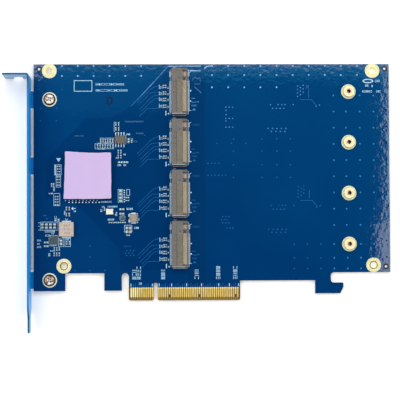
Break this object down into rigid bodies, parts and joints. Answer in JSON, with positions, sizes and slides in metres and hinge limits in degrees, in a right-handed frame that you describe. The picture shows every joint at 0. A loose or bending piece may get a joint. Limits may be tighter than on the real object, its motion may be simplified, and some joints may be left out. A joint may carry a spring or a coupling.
{
  "type": "expansion card",
  "caption": "Expansion card with a folded metal bracket, a gold edge connector and a row of keyed drive sockets, each facing a tapped standoff.",
  "frame": {"origin": "middle of the edge connector's key notch, on the insertion edge, half way through the board", "axes": "+X along the card away from its bracket, +Y from the insertion edge to the top edge, +Z out of the component side"},
  "size_m": [0.1811, 0.1259, 0.0184],
  "materials": {
    "solder_mask_blue": "glass-epoxy laminate under a satin blue solder mask",
    "gold_plating": "gold plating",
    "bracket_blue": "blue coating on folded steel",
    "screw_steel": "bright nickel plating",
    "chip_carrier": "laminate carrier",
    "chip_lid": "nickel-plated lid",
    "thermal_pad": "soft matt silicone",
    "inductor_grey": "pressed iron powder",
    "tin": "matt tin plating",
    "chip_black": "moulded epoxy",
    "crystal_can": "ceramic tray with a metal lid",
    "ceramic_tan": "fired ceramic",
    "resistor_black": "glazed ceramic",
    "socket_plastic": "moulded glass-filled polymer",
    "socket_contact": "gold and tin over copper alloy",
    "standoff_brass": "tin-plated brass"
  },
  "bodies": {
    "root": {"pcb": "solder_mask_blue", "edge_contacts_component_side": "gold_plating", "edge_contacts_solder_side": "gold_plating", "bracket": "bracket_blue", "bracket_screw_upper": "screw_steel", "bracket_screw_lower": "screw_steel", "switch_chip_substrate": "chip_carrier", "switch_chip_lid": "chip_lid", "thermal_pad": "thermal_pad", "power_inductor": "inductor_grey", "small_inductor": "inductor_grey", "inductor_terminals": "tin", "supply_regulator": "chip_black", "small_regulator": "chip_black", "crystal": "crystal_can", "memory_chip_body": "chip_black", "memory_chip_leads": "tin", "coupling_capacitors": "ceramic_tan", "supply_capacitors": "ceramic_tan", "signal_capacitors": "ceramic_tan", "resistors": "resistor_black", "m2_socket_1_housing": "socket_plastic", "m2_socket_1_upper_contacts": "socket_contact", "m2_socket_1_lower_tails": "socket_contact", "m2_socket_1_hold_downs": "tin", "standoff_1": "standoff_brass", "m2_socket_2_housing": "socket_plastic", "m2_socket_2_upper_contacts": "socket_contact", "m2_socket_2_lower_tails": "socket_contact", "m2_socket_2_hold_downs": "tin", "standoff_2": "standoff_brass", "m2_socket_3_housing": "socket_plastic", "m2_socket_3_upper_contacts": "socket_contact", "m2_socket_3_lower_tails": "socket_contact", "m2_socket_3_hold_downs": "tin", "standoff_3": "standoff_brass", "m2_socket_4_housing": "socket_plastic", "m2_socket_4_upper_contacts": "socket_contact", "m2_socket_4_lower_tails": "socket_contact", "m2_socket_4_hold_downs": "tin", "standoff_4": "standoff_brass"}
  },
  "joints": []
}
